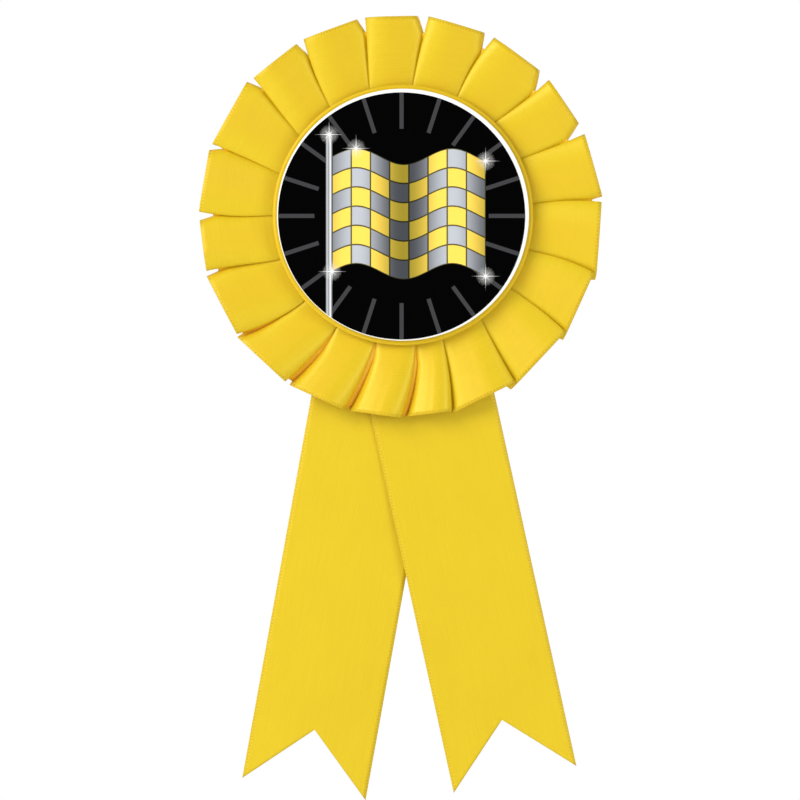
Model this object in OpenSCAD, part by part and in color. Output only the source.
// Award ribbon: a printed disc on a ring of knife-pleated satin, with two satin tails,
// worn by a bar pin on its back.
// The front faces -Y, +X is to the viewer's right and +Z is up.
// The origin is the middle of the pin's needle, which holds the ribbon up.

/* [Ribbon] */
// Width of the satin ribbon that the ruffle and both tails are made from
ribbon_w = 38.1; // [30:0.1:45]
// Thickness of the satin ribbon
ribbon_t = 0.3; // [0.2:0.05:0.5]

/* [Ruffle] */
// How much of the ribbon's width is hidden under the centre
ruffle_tuck = 16.1; // [14:0.1:20]
// Number of knife pleats in the ring
pleat_count = 19; // [14:1:24]
// How far the top edge of each pleat stands off the backing card at the rim
pleat_rise = 5.2; // [3:0.1:8]
// How far the tucked edge of each pleat stands off the backing card at the rim
pleat_fall = 2; // [1:0.1:3]
// Thickness of the folded layers where they are stitched and stapled
hub_t = 1.8; // [1.2:0.1:3]
// Lean of each fold from the radius, over the ribbon's width
pleat_lean = 5; // [0:0.5:10]
// Clockwise angle from the top to the first fold
first_fold = 3.5; // [0:0.5:18]
// Angle of the open notch between two pleats at the rim
notch_angle = 2.5; // [0:0.5:5]
// Depth of that notch
notch_depth = 4; // [1:0.5:8]
// How far the ruffle sits to the left of the printed disc
ruffle_shift = 1.2; // [0:0.1:3]

/* [Centre] */
// Radius of the white disc that carries the print
insert_r = 38.1; // [28:0.1:46]
// Thickness of that disc
insert_t = 1.5; // [0.8:0.1:3]
// Width of the white edge round the print
print_edge = 0.75; // [0.3:0.05:2]
// Thickness of the printed paper
print_t = 0.15; // [0.1:0.05:0.4]
// How far the print sits off the middle, to the left and down
print_shift = 0.45; // [0:0.05:0.6]
// Width of the satin ring that shows round the white disc
satin_edge = 1.4; // [0.5:0.1:4]
// Thickness of the stiff card inside the satin centre
center_card_t = 1.2; // [0.8:0.1:2]
// Thickness of the pad that holds the white disc
insert_pad_t = 0.5; // [0.2:0.1:1]
// Thickness of the glue ring between the centre and the pleats
center_pad_t = 0.6; // [0.6:0.1:1.2]

/* [Back] */
// How far the backing card reaches under the pleats from their inner edge
backing_lap = 9.6; // [8:0.1:16]
// Thickness of the backing card
backing_t = 1.2; // [0.8:0.1:2]
// How far the back cover stays inside the backing card's rim
cover_inset = 1.5; // [0:0.1:3]
// Thickness of the back cover
cover_t = 0.5; // [0.3:0.1:1]

/* [Tails] */
// Length of the left tail, from the middle of the disc to its tips
left_length = 176.5; // [120:0.5:240]
// Lean of the left tail to the left
left_lean = 10.2; // [2:0.1:14]
// Where the left tail's middle line crosses the height of the disc's middle
left_start = 1.3; // [-6:0.1:6]
// Length of the right tail, from the middle of the disc to its tips
right_length = 174.2; // [120:0.5:240]
// Lean of the right tail to the right
right_lean = 12.35; // [2:0.05:14]
// Where the right tail's middle line crosses the height of the disc's middle
right_start = -3.6; // [-6:0.1:6]
// Depth of the swallowtail cut at the end of each tail
swallow_depth = 17.5; // [5:0.5:30]
// How far each tail runs above the middle of the disc, under the back cover
tail_head = 8; // [5:0.5:14]
// Space between the two tails
tail_gap = 0.35; // [0.3:0.05:1]
// Distance from the ruffle's rim down to the line that the tails bend on
bend_drop = 2; // [1:0.5:6]
// Slot in the solid tail along its bend line
bend_slot = 0.3; // [0.2:0.1:0.6]

/* [Staples and thread] */
// Diameter of the staple wire
staple_d = 0.5; // [0.4:0.05:0.6]
// Width of a staple's crown
staple_w = 9; // [6:0.5:12]
// Number of staples that hold the ruffle
ruffle_staple_count = 6; // [3:1:8]
// Distance of those staples from the ribbon's inner edge
ruffle_staple_in = 4.1; // [3.5:0.1:6]
// Diameter of the sewing thread
thread_d = 0.3; // [0.2:0.05:0.5]
// Length of one stitch
stitch_l = 3.5; // [2:0.5:5]

/* [Bar pin] */
// How far the plate runs past the hinge and past the lock
plate_end = 1.2; // [0.8:0.1:4]
// Width of the plate
plate_w = 5.4; // [4.8:0.1:8]
// Thickness of the plate and its ears
plate_t = 0.5; // [0.4:0.1:0.8]
// Height of the pin above the middle of the disc
pin_height = 13; // [10:0.5:18]
// Thickness of the foam under the plate
foam_t = 1; // [0.6:0.1:2]
// Distance from the plate to the middle of the needle
needle_rise = 2.3; // [2.3:0.1:3.5]
// Radius of the needle
needle_r = 0.4; // [0.3:0.05:0.45]
// Length of the needle's straight, round stretch
needle_l = 18; // [14:0.5:18]
// Length of the needle's ground point
point_l = 5; // [4:0.5:6]
// Radius of the rivet
rivet_r = 0.4; // [0.3:0.05:0.5]
// Running clearance between the rivet and the needle's eye
rivet_clear = 0.05; // [0.02:0.01:0.1]

/* [Hidden] */

satin = "#f0cf2e";
white_card = "#f4f4f0";
grey_card = "#c9c4b8";
steel = "#c9ccd0";
round_fn = 96;
small_fn = 32;

// The layers, each as its distance in front of the back cover's rear face
crown_back = cover_t;
left_back = crown_back + staple_d;
right_back = left_back + ribbon_t + tail_gap;
backing_back = right_back + ribbon_t;
ruffle_back = backing_back + backing_t;
center_pad_back = ruffle_back + hub_t;
center_back = center_pad_back + center_pad_t;
insert_pad_back = center_back + center_card_t + 2 * ribbon_t;
insert_back = insert_pad_back + insert_pad_t;
print_back = insert_back + insert_t;
back_y = -(needle_rise + plate_t + foam_t);

// Ruffle: the ribbon runs from its inner edge, under the centre, out to the rim
satin_r = insert_r + satin_edge;
ruffle_in = satin_r - ruffle_tuck;
ruffle_r = ruffle_in + ribbon_w;
pleat_pitch = 360 / pleat_count;
lap_angle = 1;
hub_low = hub_t - ribbon_t;
stitch_in = 2;
stitch_r = ruffle_in + stitch_in;
ruffle_staple_r = ruffle_in + ruffle_staple_in;

// How far each cut runs past the faces that it opens
cut_over = 1;

// Pads and cards
pad_clear = 2.5;
pad_inset = 3;
pad_inner_r = ruffle_staple_r + pad_clear;
pad_outer_r = satin_r - pad_inset;
insert_pad_inset = 6;
insert_pad_r = insert_r - insert_pad_inset;
cuff_w = 8;
backing_r = ruffle_in + backing_lap;
cover_r = backing_r - cover_inset;
cover_glue_inset = 1;

// Tails
bend_z = -(ruffle_r + bend_drop);
staple_drop = 2;
staple_pitch = 6;
// Highest corner of the two tails
tail_top = tail_head * cos(right_lean) + ribbon_w / 2 * sin(right_lean);
adhesive_clear = 2;

// Bar pin
shoulder_l = 3.5;
hinge_x = -(needle_l / 2 + shoulder_l);
shoulder_r = 0.7;
knuckle_r = 1.15;
knuckle_w = 1.8;
knuckle_clear = 0.1;
ear_gap = knuckle_w + 2 * knuckle_clear;
ear_r = 1.4;
rivet_fit = 0.02;
rivet_head_r = 0.85;
rivet_head_t = 0.3;
tip_r = 0.08;
barrel_gap = 1;
barrel_x = needle_l / 2 + barrel_gap;
barrel_l = 3.4;
barrel_r = 2.15;
barrel_wall = 0.5;
lock_clear = 0.1;
lock_r = barrel_r - barrel_wall - lock_clear;
needle_clear = 0.25;
lock_bore = needle_r + needle_clear;
lock_slot = 2 * lock_bore;
mouth_extra = 0.3;
mouth_w = lock_slot + mouth_extra;
collar_t = 0.4;
collar_gap = 0.12;
collar_r = 1.95;
tab_t = 1.1;
tab_w = 1;
tab_reach = 3.6;
tab_angle = -50;
foot_w = 2.4;
foot_inset = 0.15;
foot_top = barrel_r - barrel_wall + foot_inset;
plate_x0 = hinge_x - ear_r - plate_end;
plate_x1 = barrel_x + barrel_l + collar_gap + tab_t + plate_end;
plate_l = plate_x1 - plate_x0;
plate_shift = (plate_x0 + plate_x1) / 2;
foam_inset = 0.6;

// Puts a child drawn round the middle of the disc, with the back cover's rear face at y = 0, in place
module on_rosette() {
    translate([0, back_y, -pin_height]) children();
}

// Raises a flat outline drawn in x and z: from `back` millimetres in front of the rear face, t thick
module layer(back, t) {
    translate([0, -back, 0]) rotate([90, 0, 0]) linear_extrude(t) children();
}

module disc(r) {
    circle(r, $fn = round_fn);
}

module ring(r_out, r_in) {
    difference() {
        disc(r_out);
        disc(r_in);
    }
}

// The printed face
module insert_print() {
    color("#1a1a1a") on_rosette() layer(print_back, print_t)
        translate([-print_shift / 2, -print_shift / 2]) disc(insert_r - print_edge);
}

// White card disc
module insert_disc() {
    color(white_card) on_rosette() layer(insert_back, insert_t) disc(insert_r);
}

// Double-sided pad behind the white disc
module insert_adhesive() {
    color(white_card) on_rosette() layer(insert_pad_back, insert_pad_t) disc(insert_pad_r);
}

// Satin pulled over the front and rim of the centre card and turned in behind it
module center_satin() {
    color(satin) on_rosette() difference() {
        layer(center_back, center_card_t + 2 * ribbon_t) disc(satin_r);
        layer(center_back + ribbon_t, center_card_t) disc(satin_r - ribbon_t);
        layer(center_back - cut_over, cut_over + ribbon_t + center_card_t / 2)
            disc(satin_r - cuff_w);
    }
}

// Stiff card inside the satin
module center_card() {
    color(grey_card) on_rosette() layer(center_back + ribbon_t, center_card_t)
        disc(satin_r - ribbon_t);
}

// Glue ring between the satin centre and the pleats
module center_adhesive() {
    color(white_card) on_rosette() layer(center_pad_back, center_pad_t)
        ring(pad_outer_r, pad_inner_r);
}

// A point on the ruffle: clockwise angle from the top, radius, and height off the backing card
function on_ruffle(angle, r, rise) =
    [r * sin(angle), -ruffle_back - rise, r * cos(angle)];

// Share of the way from the ribbon's inner edge to the rim
function along(r) = (r - ruffle_in) / ribbon_w;

// Share of the way from the edge of the satin centre to the rim
function past_center(r) = max(0, (r - satin_r) / (ruffle_r - satin_r));

// Back, tuck and fold corners of the seam between two pleats, at angle `seam` and radius r
function seam_corners(seam, r) =
    let (
        angle = seam + pleat_lean * along(r),
        high = hub_t + (pleat_rise - hub_t) * past_center(r),
        low = hub_low + (pleat_fall - hub_low) * past_center(r)
    )
    [on_ruffle(angle, r, 0), on_ruffle(angle, r, low), on_ruffle(angle - lap_angle, r, high)];

// The four corners of one pleat at the rim: back and front on its fold, front and back on its tuck
function rim_corners(seam) =
    let (
        first = seam + pleat_lean,
        last = first + pleat_pitch - notch_angle
    )
    [
        on_ruffle(first, ruffle_r, 0),
        on_ruffle(first - lap_angle, ruffle_r, pleat_rise),
        on_ruffle(last, ruffle_r, pleat_fall),
        on_ruffle(last, ruffle_r, 0)
    ];

// Every knife pleat in one closed solid: each is high on its fold and low where it tucks under the next
module pleats() {
    radii = [ruffle_in, satin_r, ruffle_r - notch_depth];
    seams = [for (i = [0:pleat_count - 1]) first_fold + i * pleat_pitch];
    per_seam = 3 * len(radii);
    rim = per_seam * pleat_count;
    points = concat(
        [for (seam = seams, r = radii) each seam_corners(seam, r)],
        [for (seam = seams) each rim_corners(seam)]
    );
    faces = [for (i = [0:pleat_count - 1])
        let (
            here = per_seam * i,
            next = per_seam * ((i + 1) % pleat_count),
            edge = rim + 4 * i
        )
        each concat(
            [[here, here + 1, here + 2, next + 1, next]],
            [for (k = [0, 3]) [here + k + 1, here + k + 4, here + k + 5, here + k + 2]],
            [for (k = [0, 3]) [here + k + 2, here + k + 5, next + k + 4, next + k + 1]],
            [for (k = [0, 3]) [here + k, next + k, next + k + 3, here + k + 3]],
            [
                [here + 8, edge + 1, edge + 2, next + 7],
                [here + 6, next + 6, edge + 3, edge],
                [here + 6, edge, edge + 1, here + 8, here + 7],
                [next + 6, next + 7, edge + 2, edge + 3],
                [edge, edge + 3, edge + 2, edge + 1]
            ]
        )];
    polyhedron(points, faces);
}

// The whole ruffle
module pleat_ring() {
    color(satin) on_rosette() translate([-ruffle_shift, 0, 0]) pleats();
}

// One stitch over each fold, laid on the pleats round their inner edge
module ruffle_stitches() {
    color("#e6c52c") on_rosette() translate([-ruffle_shift, 0, 0])
        for (i = [0:pleat_count - 1])
            rotate([0, first_fold + i * pleat_pitch, 0])
                translate([-stitch_l / 2, -center_pad_back - thread_d / 2, stitch_r])
                    rotate([0, 90, 0]) cylinder(d = thread_d, h = stitch_l, $fn = small_fn);
}

// One staple: crown on y = 0 with its legs running towards `way` (+1 back, -1 front)
module staple(leg, way) {
    rotate([0, 90, 0]) cylinder(d = staple_d, h = staple_w, center = true, $fn = small_fn);
    for (side = [-1, 1]) translate([side * (staple_w - staple_d) / 2, 0, 0])
        rotate([-90 * way, 0, 0]) cylinder(d = staple_d, h = leg, $fn = small_fn);
}

// Staples through the pleats into the backing card
module ruffle_staples() {
    color(steel) on_rosette() translate([-ruffle_shift, 0, 0])
        for (i = [0:ruffle_staple_count - 1])
            rotate([0, (i + 0.5) * 360 / ruffle_staple_count, 0])
                translate([0, -center_pad_back - staple_d / 2, ruffle_staple_r])
                    staple(staple_d / 2 + hub_t + backing_t, 1);
}

// Stiff card that everything is fixed to
module backing_card() {
    color(grey_card) on_rosette() layer(backing_back, backing_t) disc(backing_r);
}

// Outline of a whole tail: lean is positive to the right
module tail_outline(length, lean, start) {
    translate([start, 0]) rotate(lean) polygon([
        [-ribbon_w / 2, tail_head],
        [-ribbon_w / 2, -length],
        [0, -length + swallow_depth],
        [ribbon_w / 2, -length],
        [ribbon_w / 2, tail_head]
    ]);
}

// Keeps what lies above the bend line
module above_bend() {
    intersection() {
        children();
        translate([-ruffle_r, bend_z + bend_slot / 2]) square([2 * ruffle_r, 2 * ruffle_r]);
    }
}

// Keeps what lies below the bend line
module below_bend() {
    difference() {
        children();
        translate([-ruffle_r, bend_z - bend_slot / 2]) square([2 * ruffle_r, 2 * ruffle_r]);
    }
}

module tail_left_head() {
    color(satin) on_rosette() layer(left_back, ribbon_t)
        above_bend() tail_outline(left_length, -left_lean, left_start);
}

module tail_left() {
    color(satin) on_rosette() layer(left_back, ribbon_t)
        below_bend() tail_outline(left_length, -left_lean, left_start);
}

module tail_right_head() {
    color(satin) on_rosette() layer(right_back, ribbon_t)
        above_bend() tail_outline(right_length, right_lean, right_start);
}

module tail_right() {
    color(satin) on_rosette() layer(right_back, ribbon_t)
        below_bend() tail_outline(right_length, right_lean, right_start);
}

// Two staples from the back, through both tails and the backing card
module tail_staples() {
    color(steel) on_rosette()
        for (i = [0, 1])
            translate([0, -crown_back - staple_d / 2, -staple_drop - i * staple_pitch])
                staple(staple_d / 2 + 2 * ribbon_t + tail_gap + backing_t + staple_d, -1);
}

// Pad above the tails' ends, between the backing card and the back cover
module back_adhesive() {
    color(white_card) on_rosette() layer(cover_t, backing_back - cover_t) intersection() {
        disc(cover_r - cover_glue_inset);
        translate([-cover_r, tail_top + adhesive_clear]) square([2 * cover_r, cover_r]);
    }
}

// Plain card on the back
module back_cover() {
    color(white_card) on_rosette() layer(0, cover_t) disc(cover_r);
}

// Outline with round ends, for the pin's plate and its foam
module stadium(l, w) {
    square([l - w, w], center = true);
    for (side = [-1, 1]) translate([side * (l - w) / 2, 0]) circle(d = w, $fn = small_fn);
}

module pin_foam() {
    color("#e8e4d8") translate([plate_shift, 0, 0]) layer(needle_rise + plate_t, foam_t)
        stadium(plate_l - foam_inset, plate_w - foam_inset);
}

// A rod along x from x0 to x1
module rod(r, x0, x1, r_end) {
    translate([x0, 0, 0]) rotate([0, 90, 0]) cylinder(r1 = r, r2 = r_end, h = x1 - x0, $fn = small_fn);
}

// One ear of the hinge, standing on the plate
module ear(z) {
    translate([hinge_x, 0, z]) linear_extrude(plate_t) difference() {
        union() {
            circle(ear_r, $fn = small_fn);
            translate([-ear_r, -needle_rise - plate_t / 2]) square([2 * ear_r, needle_rise + plate_t / 2]);
        }
        circle(rivet_r + rivet_fit, $fn = small_fn);
    }
}

// The C-shaped barrel that holds the lock, open away from the plate
module barrel() {
    bore = barrel_r - barrel_wall;
    difference() {
        rod(barrel_r, barrel_x, barrel_x + barrel_l, barrel_r);
        rod(bore, barrel_x - cut_over, barrel_x + barrel_l + cut_over, bore);
        translate([barrel_x - cut_over, 0, -mouth_w / 2])
            cube([barrel_l + 2 * cut_over, barrel_r + cut_over, mouth_w]);
    }
    translate([barrel_x, -needle_rise - plate_t / 2, -foot_w / 2])
        cube([barrel_l, needle_rise + plate_t / 2 - foot_top, foot_w]);
}

module pin_base() {
    color(steel) {
        translate([plate_shift, 0, 0]) layer(needle_rise, plate_t) stadium(plate_l, plate_w);
        ear(ear_gap / 2);
        ear(-ear_gap / 2 - plate_t);
        barrel();
    }
}

module pin_rivet() {
    grip = ear_gap + 2 * plate_t;
    color(steel) translate([hinge_x, 0, 0]) {
        cylinder(r = rivet_r, h = grip, center = true, $fn = small_fn);
        translate([0, 0, grip / 2]) cylinder(r = rivet_head_r, h = rivet_head_t, $fn = small_fn);
        translate([0, 0, -grip / 2 - rivet_head_t])
            cylinder(r = rivet_head_r, h = rivet_head_t, $fn = small_fn);
    }
}

module pin_needle() {
    color(steel) difference() {
        union() {
            rod(shoulder_r, hinge_x, -needle_l / 2, shoulder_r);
            translate([hinge_x, 0, 0])
                cylinder(r = knuckle_r, h = knuckle_w, center = true, $fn = small_fn);
            rod(needle_r, -needle_l / 2, needle_l / 2, needle_r);
            rod(needle_r, needle_l / 2, needle_l / 2 + point_l, tip_r);
        }
        translate([hinge_x, 0, 0])
            cylinder(r = rivet_r + rivet_clear, h = knuckle_w + cut_over, center = true, $fn = small_fn);
    }
}

// The turning lock: a slotted sleeve with a collar at one end and a thumb tab at the other
module pin_lock() {
    near = barrel_x - collar_gap;
    far = barrel_x + barrel_l + collar_gap;
    color(steel) difference() {
        union() {
            rod(lock_r, near - collar_t, far + tab_t, lock_r);
            rod(collar_r, near - collar_t, near, collar_r);
            rod(collar_r, far, far + tab_t, collar_r);
            translate([far, 0, 0]) rotate([tab_angle, 0, 0])
                translate([0, lock_r, -tab_w / 2]) cube([tab_t, tab_reach - lock_r, tab_w]);
        }
        rod(lock_bore, near - collar_t - cut_over, far + tab_t + cut_over, lock_bore);
        translate([near - collar_t - cut_over, 0, -lock_slot / 2])
            cube([far - near + collar_t + tab_t + 2 * cut_over, tab_reach, lock_slot]);
    }
}

insert_print();
insert_disc();
insert_adhesive();
center_satin();
center_card();
center_adhesive();
pleat_ring();
ruffle_stitches();
ruffle_staples();
backing_card();
tail_left_head();
tail_left();
tail_right_head();
tail_right();
tail_staples();
back_adhesive();
back_cover();
pin_foam();
pin_base();
pin_rivet();
pin_needle();
pin_lock();
